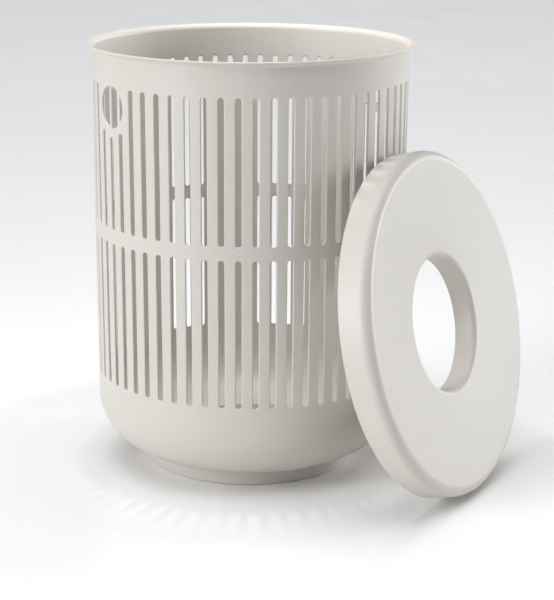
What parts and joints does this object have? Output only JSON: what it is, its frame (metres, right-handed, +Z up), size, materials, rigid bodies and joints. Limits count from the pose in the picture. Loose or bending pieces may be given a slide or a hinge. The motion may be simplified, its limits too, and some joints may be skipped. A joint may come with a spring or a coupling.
{
  "type": "laundry hamper with lid",
  "caption": "Round slotted laundry hamper with a flared rim, hand holes and a bowl-shaped base on a foot, with a loose deep-skirted lid that has a central drop hole.",
  "frame": {"origin": "on the hamper's axis, at the floor, centre of the foot's standing ring", "axes": "+Z up along the hamper's axis; +X and -X through the centres of the two hand holes"},
  "size_m": [0.4838, 0.5178, 0.5],
  "materials": {
    "basket_plastic": "fine satin moulded polypropylene, warm off-white",
    "lid_plastic": "fine satin moulded polypropylene, warm off-white"
  },
  "bodies": {
    "hamper": {"basket": "basket_plastic"},
    "lid": {"lid": "lid_plastic"}
  },
  "joints": [
    {"name": "lid_lift", "type": "slide", "parent": "hamper", "child": "lid", "axis": [0.1215, -0.2285, 0.9659], "range_m": [0, 0.55]}
  ]
}
